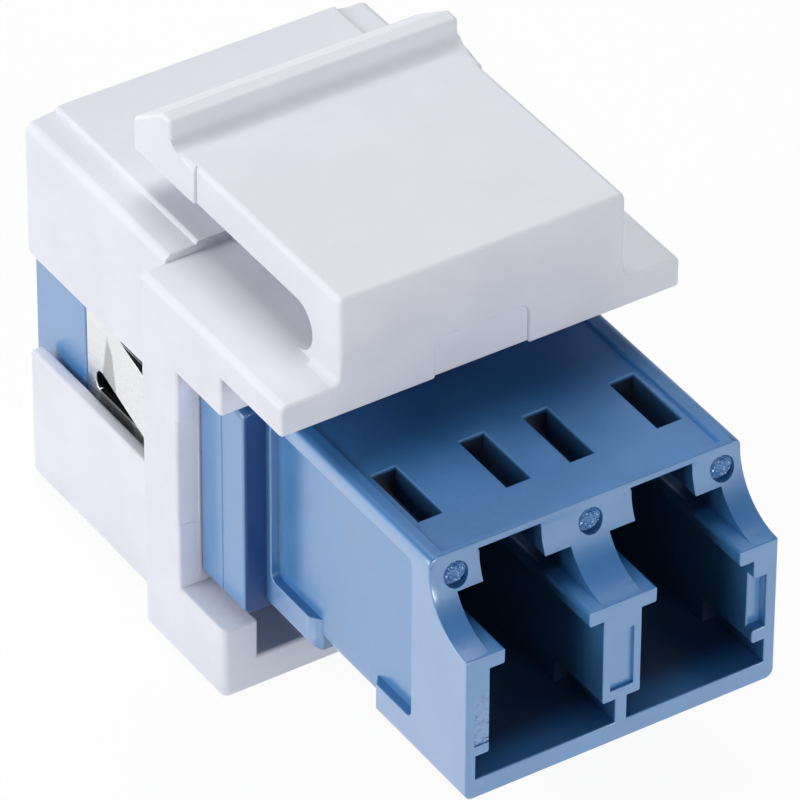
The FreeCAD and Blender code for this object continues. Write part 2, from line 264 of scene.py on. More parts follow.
skin, skin_place, skin_out = new_group("moulded skin", "Grain", "Cloud")
link(skin, noise(skin, skin_place, GRAIN_SCALE, detail=3), skin_out["Grain"])
clouds = noise(skin, skin_place, CLOUD_SCALE, detail=3)
link(skin, spread(skin, clouds, *MID_RANGE), skin_out["Cloud"])
print("group", skin.name, [socket.name for socket in skin_out if socket.name])

# %% [markdown]
# The second shared effect is the fine scuffs that a small part picks up in a tray with others.
# They are noise drawn out into thin lines in two directions, kept only in a few patches.

# %% Handling marks
LINES_SCALE, LINES_TURN, LINES_KEPT = (260, 9000, 9000), (0.3, 0.2, 0.5), (0.64, 0.72)
CROSSING_SCALE, CROSSING_TURN, CROSSING_KEPT = (9000, 320, 9000), (0.9, 0.4, 0.2), (0.65, 0.73)
PATCH_SCALE, PATCH_KEPT = 300, (0.48, 0.62)

marks, marks_place, marks_out = new_group("handling marks", "Marks")
lines = noise(marks, stretched(marks, marks_place, LINES_SCALE, LINES_TURN), 1, detail=2)
lines = spread(marks, lines, *LINES_KEPT)
crossing = noise(marks, stretched(marks, marks_place, CROSSING_SCALE, CROSSING_TURN), 1, detail=2)
crossing = spread(marks, crossing, *CROSSING_KEPT)
patches = spread(marks, noise(marks, marks_place, PATCH_SCALE, detail=2), *PATCH_KEPT)
either_line = calc(marks, "MAXIMUM", lines, crossing)
link(marks, calc(marks, "MULTIPLY", either_line, patches), marks_out["Marks"])
print("group", marks.name)

# %% [markdown]
# A finish is a Principled shader whose constants sit on its own sockets. Colour, roughness and bump come
# from the groups and from masks. The white plastic is the plainest: a satin moulding with soft clouds and
# faint scuffs. One even colour would look like paint, so two close ones are mixed by the clouds.

# %% Finish helpers
def new_finish(name, **constants):
    """Material with a Principled shader, its node tree and its Object coordinates."""
    material = bpy.data.materials.new(name)
    material.use_nodes = True
    tree = material.node_tree
    shader = tree.nodes["Principled BSDF"]
    for socket, value in constants.items():
        shader.inputs[socket.replace("_", " ")].default_value = value
    place = tree.nodes.new("ShaderNodeTexCoord").outputs["Object"]
    return material, tree, shader, place


def use_group(tree, group, place):
    node = tree.nodes.new("ShaderNodeGroup")
    node.node_tree = group
    link(tree, place, node.inputs["Place"])
    return node.outputs


def between(tree, share, first, second):
    """Colour between two, which are plain colours or sockets."""
    node = tree.nodes.new("ShaderNodeMix")
    node.data_type = "RGBA"
    link(tree, share, node.inputs[0])
    for socket, colour in zip(node.inputs[6:8], (first, second)):
        if isinstance(colour, tuple):
            socket.default_value = (*colour, 1)
        else:
            link(tree, colour, socket)
    return node.outputs[2]


def relief(tree, shader, height, depth, strength):
    """Bump of a depth in millimetres on the shader's normal."""
    node = tree.nodes.new("ShaderNodeBump")
    node.inputs["Distance"].default_value = depth * MM
    node.inputs["Strength"].default_value = strength
    link(tree, height, node.inputs["Height"])
    link(tree, node.outputs["Normal"], shader.inputs["Normal"])


# %% White plastic
PLASTIC_IOR = 1.5
WHITES = ((0.735, 0.742, 0.812), (0.775, 0.782, 0.852))
WHITE_SCUFF = (0.60, 0.61, 0.64)
WHITE_SCUFF_SHARE = 0.07
WHITE_ROUGH = (0.50, 0.62)
SCUFF_ROUGH = 0.06
SKIN_DEPTH = 0.02
WHITE_BUMP = 0.08

white_plastic, tree, shader, place = new_finish("white moulded plastic", IOR=PLASTIC_IOR)
skin_values = use_group(tree, skin, place)
scuffs = use_group(tree, marks, place)["Marks"]
body_colour = between(tree, skin_values["Cloud"], *WHITES)
faint_scuffs = calc(tree, "MULTIPLY", scuffs, WHITE_SCUFF_SHARE)
link(tree, between(tree, faint_scuffs, body_colour, WHITE_SCUFF), shader.inputs["Base Color"])
rough = spread(tree, skin_values["Cloud"], 0.0, 1.0, *WHITE_ROUGH)
rough = calc(tree, "ADD", rough, calc(tree, "MULTIPLY", scuffs, SCUFF_ROUGH))
link(tree, rough, shader.inputs["Roughness"])
relief(tree, shader, skin_values["Grain"], SKIN_DEPTH, WHITE_BUMP)
print("finish", white_plastic.name)

# %% [markdown]
# The blue plastic changes more over the part. Its upright faces have a clear skin, and their colour is
# painted paler as a painted sheen, most of all on the band along each side. It is paler and rougher at
# the torn gate beside one port. Shade is painted into its colour where little light comes back out: towards
# the ends of the ports, under the clip and in the corner of the flange, and the clear skin is left off
# there.
# Painted pictures could say where, but masks made from a point's place and direction on the part are exact,
# and they stay put from every side.

# %% Masks of place and direction
SOFT, CRISP = 0.1, 0.05
TURNED = (0.5, 0.9)


def ramp(tree, value, zero, one):
    """Smooth rise between two places in millimetres, given in either order."""
    if zero < one:
        return spread(tree, value, zero * MM, one * MM)
    return spread(tree, value, one * MM, zero * MM, 1.0, 0.0)


def inside(tree, value, low, high, soft=SOFT):
    """One between two places in millimetres, with soft ends."""
    rise = ramp(tree, value, low - soft, low + soft)
    return calc(tree, "MULTIPLY", rise, ramp(tree, value, high + soft, high - soft))


def all_of(tree, *masks):
    """One only where every mask is one."""
    product = masks[0]
    for mask in masks[1:]:
        product = calc(tree, "MULTIPLY", product, mask)
    return product


def inverse(tree, mask):
    """One where a mask is zero."""
    return calc(tree, "SUBTRACT", 1.0, mask)


def unsigned(tree, value):
    return calc(tree, "ABSOLUTE", value, 0)


def along_axes(tree, vector):
    node = tree.nodes.new("ShaderNodeSeparateXYZ")
    link(tree, vector, node.inputs[0])
    return node.outputs


def surface_normal(tree):
    return tree.nodes["Texture Coordinate"].outputs["Normal"]


# %% Blue plastic and its directions
SEAM = -3.88
UPRIGHT = (0.2, 0.8)

blue_plastic, tree, shader, place = new_finish(
    "blue moulded plastic", IOR=PLASTIC_IOR, Coat_Roughness=0.22, Coat_IOR=1.95
)
skin_values = use_group(tree, skin, place)
scuffs = use_group(tree, marks, place)["Marks"]
axes = along_axes(tree, place)
facing = along_axes(tree, surface_normal(tree))
sideways = unsigned(tree, axes["X"])
depth = unsigned(tree, calc(tree, "SUBTRACT", axes["Y"], SEAM * MM))
to_side, to_mouth, to_sky = (unsigned(tree, facing[axis]) for axis in "XYZ")
steep = spread(tree, to_sky, *UPRIGHT, 1.0, 0.0)
print("started", blue_plastic.name)

# %% Where shade is painted into the blue
PORT_LEVELS, PORT_FADE = (-2.45, 2.75), (14.2, 12.2)
ROOM_LEVELS, ROOM_FADE = (2.75, 5.55), (11.9, 11.4)
PORT_WALL = (6.08, 6.02)
PORT_SHADE = 0.80
STRIP_X, STRIP_Y, STRIP_Z = (5.55, 6.6), (-1.5, 6.85), (-2.6, 4.7)
STRIP_BLUR = 0.2
FLANGE_FACE, FLANGE_SIDE = (1.38, 1.56), (6.0, 6.2)

in_port = all_of(tree, inside(tree, axes["Z"], *PORT_LEVELS), ramp(tree, depth, *PORT_FADE))
in_room = all_of(tree, inside(tree, axes["Z"], *ROOM_LEVELS), ramp(tree, depth, *ROOM_FADE))
# Painted shade towards the ends of the ports and of the rooms behind them.
painted_deep_shade = all_of(
    tree,
    calc(tree, "ADD", in_port, in_room),
    ramp(tree, sideways, *PORT_WALL),
    spread(tree, to_mouth, *TURNED, PORT_SHADE, 1.0),
)
# Painted shade on the wall under the clip strip.
painted_shade_under_strip = all_of(
    tree,
    inside(tree, axes["Y"], *STRIP_Y),
    inside(tree, axes["Z"], *STRIP_Z, STRIP_BLUR),
    inside(tree, sideways, *STRIP_X, CRISP),
)
# Painted shade in the corner in front of the flange.
painted_shade_by_flange = all_of(
    tree,
    inside(tree, depth, *FLANGE_FACE, CRISP),
    ramp(tree, sideways, *FLANGE_SIDE),
    spread(tree, to_mouth, *TURNED),
)
painted_deep_shade = calc(tree, "MAXIMUM", painted_deep_shade, painted_shade_under_strip)
all_painted_shade = calc(tree, "MAXIMUM", painted_deep_shade, painted_shade_by_flange)
# The clear skin is left off wherever shade is painted.
link(tree, all_of(tree, steep, inverse(tree, all_painted_shade)), shader.inputs["Coat Weight"])
print("clear skin on upright faces in the open")

# %% The torn gate and the band with painted sheen
GATE_X, GATE_Z = (-6.10, -5.36), (-0.88, 1.36)
GATE_BLUR = 0.06
GATE_DEPTH = -17.9
TEAR_SCALE, TEAR_PATCHES = 3500, (0.36, 0.58)
BAND_X, BAND_START = (6.30, 6.60), (-5.5, -5.8)

torn = all_of(
    tree,
    inside(tree, axes["X"], *GATE_X, GATE_BLUR),
    inside(tree, axes["Z"], *GATE_Z),
    ramp(tree, axes["Y"], GATE_DEPTH + SOFT, GATE_DEPTH - SOFT),
    spread(tree, noise(tree, place, TEAR_SCALE, detail=3), *TEAR_PATCHES),
)
# The band along each side is painted paler: a painted sheen.
band_painted_sheen = all_of(
    tree,
    inside(tree, sideways, *BAND_X, CRISP),
    ramp(tree, axes["Y"], *BAND_START),
    spread(tree, to_side, *TURNED),
)
print("gate and band marked")

# %% Colour of the blue
# Flat and upright faces get a darker and a paler copy of one blue: the paler one is a painted sheen.
FLAT_BLUES = ((0.030, 0.140, 0.355), (0.036, 0.160, 0.395))
STEEP_SHEEN_BLUES = ((0.054, 0.215, 0.485), (0.064, 0.240, 0.535))
BAND_SHEEN_BLUE = (0.18, 0.33, 0.60)
SCUFF_BLUE, SCUFF_SHARE = (0.20, 0.34, 0.55), 0.06
TORN_BLUE, TORN_SHARE = (0.28, 0.42, 0.64), 0.25
# The next two are painted shade: dark blues for the flange corner and for the ports and the wall under the
# clip.
FLANGE_SHADE_BLUE = (0.006, 0.055, 0.210)
PAINTED_SHADE_BLUE = (0.004, 0.012, 0.036)

flat_colour = between(tree, skin_values["Cloud"], *FLAT_BLUES)
steep_sheen_colour = between(tree, skin_values["Cloud"], *STEEP_SHEEN_BLUES)
# Painted sheen: upright faces take the paler copy of the blue.
body_colour = between(tree, steep, flat_colour, steep_sheen_colour)
# Painted sheen on the side band.
body_colour = between(tree, band_painted_sheen, body_colour, BAND_SHEEN_BLUE)
body_colour = between(tree, calc(tree, "MULTIPLY", scuffs, SCUFF_SHARE), body_colour, SCUFF_BLUE)
body_colour = between(tree, calc(tree, "MULTIPLY", torn, TORN_SHARE), body_colour, TORN_BLUE)
# Painted shade: the flange corner, the ends of the ports and the wall under the clip are coloured dark.
body_colour = between(tree, painted_shade_by_flange, body_colour, FLANGE_SHADE_BLUE)
body_colour = between(tree, painted_deep_shade, body_colour, PAINTED_SHADE_BLUE)
link(tree, body_colour, shader.inputs["Base Color"])
print("colour of", blue_plastic.name)

# %% Roughness and relief of the blue
BLUE_ROUGH = (0.30, 0.42)
TORN_ROUGH = 0.2
PEBBLE_SCALE, PEBBLE_HEIGHT = 14000, 4
MOTTLE_SCALE, MOTTLE_HEIGHT = 3000, 2
BLUE_BUMP = 0.16

rough = spread(tree, skin_values["Cloud"], 0.0, 1.0, *BLUE_ROUGH)
rough = calc(tree, "ADD", rough, calc(tree, "MULTIPLY", scuffs, SCUFF_ROUGH))
rough = calc(tree, "ADD", rough, calc(tree, "MULTIPLY", torn, TORN_ROUGH))
link(tree, rough, shader.inputs["Roughness"])
pebbles = all_of(tree, noise(tree, place, PEBBLE_SCALE, detail=2), torn)
pebbles = calc(tree, "MULTIPLY", pebbles, PEBBLE_HEIGHT)
mottle = calc(tree, "MULTIPLY", noise(tree, place, MOTTLE_SCALE, detail=2), MOTTLE_HEIGHT)
height = calc(tree, "ADD", calc(tree, "ADD", skin_values["Grain"], mottle), pebbles)
relief(tree, shader, height, SKIN_DEPTH, BLUE_BUMP)
print("finish", blue_plastic.name)

# %% [markdown]
# The clip is rolled spring strip, so its finish has long faint streaks along the rolling direction.
# Where each tongue was folded out, the strip is painted darker, a painted shade for the darker reflection
# of the bend. The sheared edges are matt, and the cut around the tongue is painted dark as painted shade.
# All of it is again masks, here two slanted lines for the fold and the direction of the surface for the
# edges.

# %% Steel strip
STREAKS = (14000, 240, 14000)
FOLD_TOP = (5.56, 1.95)
FOLD_EDGES = (((0.984, 0.180), -1), ((0.859, -0.512), 1))
FOLD_BLUR = 0.14
SHEARED = (0.3, 0.8)

spring_steel, tree, shader, place = new_finish("spring steel strip")
scuffs = use_group(tree, marks, place)["Marks"]
streaks = noise(tree, stretched(tree, place, STREAKS), 1, detail=3)
axes = along_axes(tree, place)
facing = along_axes(tree, surface_normal(tree))
from_fold_y = calc(tree, "SUBTRACT", axes["Y"], FOLD_TOP[0] * MM)
from_fold_z = calc(tree, "SUBTRACT", axes["Z"], FOLD_TOP[1] * MM)
sides_of_fold = []
for (toward_y, toward_z), sign in FOLD_EDGES:
    along_y = calc(tree, "MULTIPLY", from_fold_y, sign * toward_y)
    along_z = calc(tree, "MULTIPLY", from_fold_z, sign * toward_z)
    sides_of_fold.append(spread(tree, calc(tree, "ADD", along_y, along_z), 0.0, FOLD_BLUR * MM))
# Painted shade along the fold of each tongue.
fold_painted_shade = all_of(tree, *sides_of_fold)
sheared = spread(tree, unsigned(tree, facing["X"]), *SHEARED, 1.0, 0.0)
print("started", spring_steel.name)

# %% Colour, roughness and shine of the strip
STRIP_GREYS = ((0.815, 0.825, 0.83), (0.85, 0.86, 0.87))
FOLD_SHADE_GREY = (0.50, 0.50, 0.51)
CUT_Y, CUT_Z = (1.0, 6.6), (-1.2, 3.4)
CUT_RIM, RIM_BLUR = (6.38, 6.46), 0.02
# Painted shade: near black for the cut walls around the tongue.
CUT_SHADE = (0.012, 0.012, 0.014)
STRIP_ROUGH = (0.24, 0.36)
SHEARED_ROUGH, STRIP_SCUFF_ROUGH = 0.4, 0.2
SHEARED_LOSS = 0.3
STRIP_DEPTH, STRIP_BUMP = 0.01, 0.015

around_tongue = all_of(tree, inside(tree, axes["Y"], *CUT_Y), inside(tree, axes["Z"], *CUT_Z))
on_rim = inside(tree, unsigned(tree, axes["X"]), *CUT_RIM, RIM_BLUR)
# Painted shade in the cut around the tongue, but not on its outer rim.
painted_shade_in_cut = all_of(tree, sheared, around_tongue, inverse(tree, on_rim))
strip_colour = between(tree, spread(tree, streaks, *MID_RANGE), *STRIP_GREYS)
# Painted shade: the fold is coloured a darker grey.
strip_colour = between(tree, fold_painted_shade, strip_colour, FOLD_SHADE_GREY)
link(tree, between(tree, painted_shade_in_cut, strip_colour, CUT_SHADE), shader.inputs["Base Color"])
rough = spread(tree, streaks, *MID_RANGE, *STRIP_ROUGH)
rough = calc(tree, "ADD", rough, calc(tree, "MULTIPLY", sheared, SHEARED_ROUGH))
rough = calc(tree, "ADD", rough, calc(tree, "MULTIPLY", scuffs, STRIP_SCUFF_ROUGH))
link(tree, rough, shader.inputs["Roughness"])
link(tree, inverse(tree, calc(tree, "MULTIPLY", sheared, SHEARED_LOSS)), shader.inputs["Metallic"])
relief(tree, shader, streaks, STRIP_DEPTH, STRIP_BUMP)
print("finish", spring_steel.name)

# %% [markdown]
# The sleeves are polished ceramic, warm white and glossy, with the fine rings that grinding leaves.

# %% Ceramic
CERAMIC_WHITES = ((0.82, 0.81, 0.76), (0.88, 0.87, 0.82))
RINGS = (300, 22000, 300)
CERAMIC_ROUGH = (0.12, 0.2)
RING_DEPTH, RING_BUMP = 0.004, 0.2

ceramic, tree, shader, place = new_finish("polished ceramic", IOR=2.1)
skin_values = use_group(tree, skin, place)
rings = noise(tree, stretched(tree, place, RINGS), 1, detail=2)
link(tree, between(tree, skin_values["Cloud"], *CERAMIC_WHITES), shader.inputs["Base Color"])
link(tree, spread(tree, rings, *MID_RANGE, *CERAMIC_ROUGH), shader.inputs["Roughness"])
relief(tree, shader, rings, RING_DEPTH, RING_BUMP)
print("finish", ceramic.name)

# %% [markdown]
# Each visible moulding starts as a copy of its solid. The copy arrives as loose triangles, so it is merged
# and its flat faces are cleaned up. Real mouldings have no knife edges. A bevel modifier rounds them all
# at once, and a weight on each edge sets its own radius, so that corners of different radii still meet.
# An edge beside a narrow face gets a smaller radius, so that two bevels never run into each other.

# %% Copy a solid
MERGE = 0.002 * MM
FLAT = math.radians(0.3)


def make_active(piece):
    bpy.ops.object.select_all(action="DESELECT")
    piece.select_set(True)
    bpy.context.view_layer.objects.active = piece


def clean_flats(piece, merge=MERGE):
    """Merge double vertices and join the triangles of each flat face."""
    make_active(piece)
    bpy.ops.object.mode_set(mode="EDIT")
    bpy.ops.mesh.select_all(action="SELECT")
    bpy.ops.mesh.remove_doubles(threshold=merge)
    bpy.ops.mesh.dissolve_limited(angle_limit=FLAT)
    bpy.ops.object.mode_set(mode="OBJECT")


def node_copy(node, name):
    """A node's mesh in a new object, merged into one closed surface of clean flat faces."""
    piece = bpy.data.objects.new(name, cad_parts[node].data.copy())
    scene.collection.objects.link(piece)
    make_active(piece)
    piece.data.materials.clear()
    bpy.ops.mesh.customdata_custom_splitnormals_clear()
    clean_flats(piece)
    print(name, "starts with", len(piece.data.polygons), "faces")
    return piece


def within(place, region):
    """Whether a place, with its X unsigned, lies in a region of X, Y and Z ranges in millimetres."""
    spot = (abs(place.x), place.y, place.z)
    return all(low < value < high for value, (low, high) in zip(spot, region))


def shift_vertices(piece, region, offset):
    """Move the vertices in a region by an offset, both in millimetres."""
    make_active(piece)
    bpy.ops.object.mode_set(mode="EDIT")
    bpy.ops.mesh.select_mode(type="VERT")
    bpy.ops.mesh.select_all(action="DESELECT")
    mesh = bmesh.from_edit_mesh(piece.data)
    picked = [vertex for vertex in mesh.verts if within(vertex.co / MM, region)]
    for vertex in picked:
        vertex.select = True
    mesh.select_flush_mode()
    bmesh.update_edit_mesh(piece.data)
    bpy.ops.transform.translate(value=[value * MM for value in offset])
    bpy.ops.object.mode_set(mode="OBJECT")
    print(piece.name, "vertices moved", len(picked))


# %% Round the edges
SHARP = math.radians(35)
LARGEST_RADIUS = 0.3
SMALLEST_RADIUS = 0.02
SHARED_FACE = 0.45
WHOLE_FACE = 0.85
NO_LIMIT = 1.0
BEVEL_STEPS = 3


def room_beside(face, edge):
    """Largest radius in millimetres that a flat face has room for, at the middle of one of its edges."""
    loop = next(item for item in face.loops if item.edge is edge)
    start, end = loop.vert.co, loop.link_loop_next.vert.co
    middle = (start + end) / 2
    along = (end - start).normalized()
    inward = face.normal.cross(along)
    reach, opposite = NO_LIMIT, None
    for other in face.edges:
        first, second = (corner.co - middle for corner in other.verts)
        before, after = first.dot(along), second.dot(along)
        if other is not edge and before * after < 0:
            height = first.lerp(second, before / (before - after)).dot(inward)
            if 0 < height < reach:
                reach, opposite = height, other
    shared = opposite is not None and opposite.calc_face_angle_signed(0) >= SHARP
    return (SHARED_FACE if shared else WHOLE_FACE) * reach / MM


def rule_of(radii):
    """Rule that gives an edge the radius of the first region that holds its middle."""

    def radius_at(first, second):
        middle = (first + second) / 2
        return next(radius for region, radius in radii if within(middle, region))

    return radius_at


def round_edges(piece, radius_at):
    """Round the outward sharp edges, each by the radius that a rule gives for its two ends."""
    make_active(piece)
    mesh = bmesh.new()
    mesh.from_mesh(piece.data)
    weight = mesh.edges.layers.float.new("bevel_weight_edge")
    chosen = 0
    for edge in mesh.edges:
        if edge.calc_face_angle_signed(0) < SHARP:
            continue
        first, second = (corner.co / MM for corner in edge.verts)
        limits = [room_beside(face, edge) for face in edge.link_faces]
        radius = min([radius_at(first, second)] + limits)
        if radius > SMALLEST_RADIUS:
            edge[weight] = radius / LARGEST_RADIUS
            chosen += 1
    mesh.to_mesh(piece.data)
    mesh.free()
    bevel = piece.modifiers.new("rounded edges", "BEVEL")
    bevel.limit_method = "WEIGHT"
    bevel.width = LARGEST_RADIUS * MM
    bevel.segments = BEVEL_STEPS
    bevel.use_clamp_overlap = False
    bpy.ops.object.modifier_apply(modifier="rounded edges")
    print(piece.name, "edges rounded", chosen, "faces", len(piece.data.polygons))


# %% Smooth and dress a piece
SMOOTH = math.radians(50)


def finish_surface(piece, material, smooth=SMOOTH):
    """Smooth the roundings, keep the flats flat and set the finish."""
    make_active(piece)
    bpy.ops.object.shade_smooth_by_angle(angle=smooth)
    weighted = piece.modifiers.new("flat faces", "WEIGHTED_NORMAL")
    weighted.keep_sharp = True
    bpy.ops.object.modifier_apply(modifier="flat faces")
    piece.data.materials.clear()
    piece.data.materials.append(material)


# %% [markdown]
# The holder is the white moulding that snaps into a panel. Its block in front, where the latch grows up,
# has softer edges than the rest. A few places where fillets of the solid already meet are left alone.
# The sinks on the front of its columns are shallower than the solid has them, so their floors are moved.

# %% Holder
FAR, NEAR = 99, 0.01
ANY = (-FAR, FAR)
EVERYWHERE = (ANY, ANY, ANY)
HINGE = -6.53
BEND = (ANY, (HINGE - NEAR, HINGE + NEAR), (9.0, FAR))
BLOCK_FOOT = ((5.75, 6.4), (-9.2, FAR), (8.7, 11.0))
RING = ((7.2, 7.5), (-2.5, -2.1), ANY)
NOSE_EDGE = ((7.0, FAR), (-0.1, 9.6), (8.4, FAR))
BLOCK = (ANY, ANY, (9.5, FAR))
HOLDER_RADII = ((BEND, 0), (BLOCK_FOOT, 0), (RING, 0), (NOSE_EDGE, 0), (BLOCK, 0.24), (EVERYWHERE, 0.14))

SINK_Y, SINK_Z = (-2.21, -2.17), (-0.95, 3.7)
SINK_AT_RING = ((7.3, 7.6), SINK_Y, SINK_Z)
SINK_OUTSIDE = ((7.6, FAR), SINK_Y, SINK_Z)
RING_SHIFT, OUTSIDE_SHIFT = -0.14, -0.06

holder = node_copy("keystone_holder", "holder_moulding")
shift_vertices(holder, SINK_AT_RING, (0, RING_SHIFT, 0))
shift_vertices(holder, SINK_OUTSIDE, (0, OUTSIDE_SHIFT, 0))
round_edges(holder, rule_of(HOLDER_RADII))
finish_surface(holder, white_plastic)
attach(holder, "module")
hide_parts("keystone_holder")

# %% [markdown]
# The latch arm is the same moulding, bent back over the holder. When it is pressed it bends over its
# first few millimetres, so its mesh is cut across there by a row of bisect planes.

# %% Latch arm
BEND_END = -2.5
BEND_CUTS = 8
CATCH_FOOT = ((5.8, FAR), (0.9, 1.8), (12.1, 12.7))
UNDER_ARM = (ANY, ANY, (-FAR, 11.0))
BEFORE_CATCH = (ANY, (-FAR, 0.9), ANY)
LATCH_RADII = ((BEND, 0), (CATCH_FOOT, 0), (UNDER_ARM, 0), (BEFORE_CATCH, 0.24), (EVERYWHERE, 0.16))
ARM_SMOOTH = math.radians(32)

arm = node_copy("keystone_latch", "latch_arm")
round_edges(arm, rule_of(LATCH_RADII))
make_active(arm)
bpy.ops.object.mode_set(mode="EDIT")
for cut in range(1, BEND_CUTS + 1):
    station = HINGE + (BEND_END - HINGE) * cut / BEND_CUTS
    bpy.ops.mesh.select_all(action="SELECT")
    bpy.ops.mesh.bisect(plane_co=(0, station * MM, 0), plane_no=(0, 1, 0))
bpy.ops.object.mode_set(mode="OBJECT")
finish_surface(arm, white_plastic, ARM_SMOOTH)
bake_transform(arm)
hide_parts("keystone_latch")

# %% [markdown]
# The two blue halves are equal and meet in the seam, so each step is written once and measured from the
# seam outwards. The solid has one wide rounding all around its port end, but on the real part that rim is
# much crisper. So a thin skin with square edges, cut by the same scoop, is joined to each copy first.

# %% Blocks, rods and carving
def add_block(low, high):
    """Box between two corners in millimetres."""
    bpy.ops.object.select_all(action="DESELECT")
    bpy.ops.mesh.primitive_cube_add(size=1, location=[(a + b) / 2 * MM for a, b in zip(low, high)])
    block = bpy.context.object
    block.scale = [abs(b - a) * MM for a, b in zip(low, high)]
    bpy.ops.object.transform_apply(location=True, rotation=True, scale=True)
    return block


def add_rod(centre, radius, length, turn, sides):
    """Round rod in millimetres, turned from standing upright."""
    bpy.ops.object.select_all(action="DESELECT")
    place = [value * MM for value in centre]
    bpy.ops.mesh.primitive_cylinder_add(
        vertices=sides, radius=radius * MM, depth=length * MM, location=place, rotation=turn
    )
    rod = bpy.context.object
    bpy.ops.object.transform_apply(location=True, rotation=True, scale=True)
    return rod


def carve(piece, tool, operation="DIFFERENCE"):
    """Take a tool out of a piece, or join it on, and remove the tool."""
    make_active(piece)
    change = piece.modifiers.new("carve", "BOOLEAN")
    change.operation = operation
    change.solver = "MANIFOLD"
    change.object = tool
    bpy.ops.object.modifier_apply(modifier="carve")
    bpy.data.objects.remove(tool)


# %% Crisp rim around a port end
HALF_LENGTH = 14.37
BODY_SIDE, BODY_BOTTOM, BODY_TOP = 6.45, -3.16, 5.82
RIM_THICKNESS = 0.345
RIM_DEPTH = 2.8
RIM_STEPS = 11
SCOOP_RADIUS = 2.399
SCOOP_LEVEL = 5.40
SCOOP_SIDES = 52
PORT_AXIS = 3.125
NECK_HALF, ROOM_HALF = 1.718, 2.328
LEDGE_MIDDLE, LEDGE_TOP = 2.55, 3.0005
LEDGE_START = 13.786
STITCH = 0.004 * MM
BEYOND = 9.0


def square_rim(piece, outward):
    """Join a thin skin with square edges to the port end of a half."""
    end = SEAM + outward * HALF_LENGTH
    start = end - outward * RIM_DEPTH
    past_end = end + outward
    brow = end - outward * SCOOP_RADIUS
    ledge = SEAM + outward * LEDGE_START
    rim = add_block((-BODY_SIDE, start, BODY_BOTTOM), (BODY_SIDE, end, BODY_TOP))
    bpy.ops.object.mode_set(mode="EDIT")
    bpy.ops.mesh.select_mode(type="EDGE")
    bpy.ops.mesh.select_all(action="DESELECT")
    mesh = bmesh.from_edit_mesh(rim.data)
    for edge in mesh.edges:
        first, second = (corner.co for corner in edge.verts)
        edge.select = abs(first.y - second.y) > MM
    bmesh.update_edit_mesh(rim.data)
    bpy.ops.mesh.bevel(offset=RIM_THICKNESS * MM, segments=RIM_STEPS, affect="EDGES")
    bpy.ops.object.mode_set(mode="OBJECT")
    hollow_side, hollow_floor = BODY_SIDE - RIM_THICKNESS, BODY_BOTTOM + RIM_THICKNESS
    before = start - outward
    carve(rim, add_block((-hollow_side, before, hollow_floor), (hollow_side, past_end, LEDGE_MIDDLE)))
    carve(rim, add_block((-hollow_side, before, hollow_floor), (hollow_side, ledge, BEYOND)))
    for axis in (-PORT_AXIS, PORT_AXIS):
        for half, bottom in ((NECK_HALF, LEDGE_MIDDLE), (ROOM_HALF, LEDGE_TOP)):
            carve(rim, add_block((axis - half, before, bottom), (axis + half, past_end, BEYOND)))
    carve(rim, add_rod((0, end, SCOOP_LEVEL), SCOOP_RADIUS, 2 * BEYOND, (0, math.pi / 2, 0), SCOOP_SIDES))
    carve(rim, add_block((-BEYOND, brow, SCOOP_LEVEL), (BEYOND, past_end, BEYOND)))
    carve(piece, rim, "UNION")
    clean_flats(piece, STITCH)
    print(piece.name, "with crisp rim", len(piece.data.polygons), "faces")


# %% [markdown]
# The pocket in the wall between the ports is a shallow relief. Its floor is moved up from the solid's.
# Then all edges are rounded: the flange is soft, the brow and the outer rim are crisper, and the seam
# keeps a hair-fine groove. The scoops and the rooms behind the ports stay sharp.

# %% Radii of a half, measured from the seam outwards
HIDDEN_ROOMS = ((-FAR, 6.1), (-FAR, 12.07), (-2.6, 5.4))
STRAP_SLOT = (ANY, (4.5, 8.4), (-FAR, -2.6))
STRAP_SIDE = ((5.8, FAR), (1.6, 11.5), (-FAR, -2.6))
SCOOP = ((-FAR, 5.7), (11.97, 14.27), (2.7, 5.3))
SEAM_EDGE = (ANY, (-FAR, NEAR), ANY)
FLANGE_EDGE = (ANY, (1.43, 1.53), ANY)
BROW = (ANY, (11.92, 12.02), ANY)
POCKET_FLOOR = 13.97
POCKET_X, POCKET_Z = (-FAR, 0.6), (-0.95, 1.75)
POCKET = (POCKET_X, (POCKET_FLOOR, FAR), POCKET_Z)
LEFT_SHARP = tuple((region, 0) for region in (HIDDEN_ROOMS, STRAP_SLOT, STRAP_SIDE, SCOOP))
ROUNDED = ((SEAM_EDGE, 0.07), (FLANGE_EDGE, 0.16), (BROW, 0.09), (POCKET, 0.03), (EVERYWHERE, 0.07))
PORT_CORNERS, PORT_CORNER_RADIUS = ((-FAR, 6), ANY, (-2, FAR)), 0.14
MOUTH_START = HALF_LENGTH - 0.05
LENGTHWISE = 0.9


def half_radius(outward):
    """Rule for a half that runs from the seam in one direction along Y."""
    rule = rule_of(LEFT_SHARP + ROUNDED)

    def radius_at(first, second):
        first, second = (Vector((end.x, outward * (end.y - SEAM), end.z)) for end in (first, second))
        at_mouth = max(first.y, second.y) > MOUTH_START
        lengthwise = abs((first - second).normalized().y) > LENGTHWISE
        if at_mouth and lengthwise and within((first + second) / 2, PORT_CORNERS):
            return PORT_CORNER_RADIUS
        return rule(first, second)

    return radius_at


# %% Housing halves
POCKET_RAISE = 0.24
FLOOR_TOLERANCE = 0.02


def make_half(node, name, outward):
    piece = node_copy(node, name)
    square_rim(piece, outward)
    floor_y = SEAM + outward * POCKET_FLOOR
    floor_region = (POCKET_X, (floor_y - FLOOR_TOLERANCE, floor_y + FLOOR_TOLERANCE), POCKET_Z)
    shift_vertices(piece, floor_region, (0, outward * POCKET_RAISE, 0))
    round_edges(piece, half_radius(outward))
    return piece


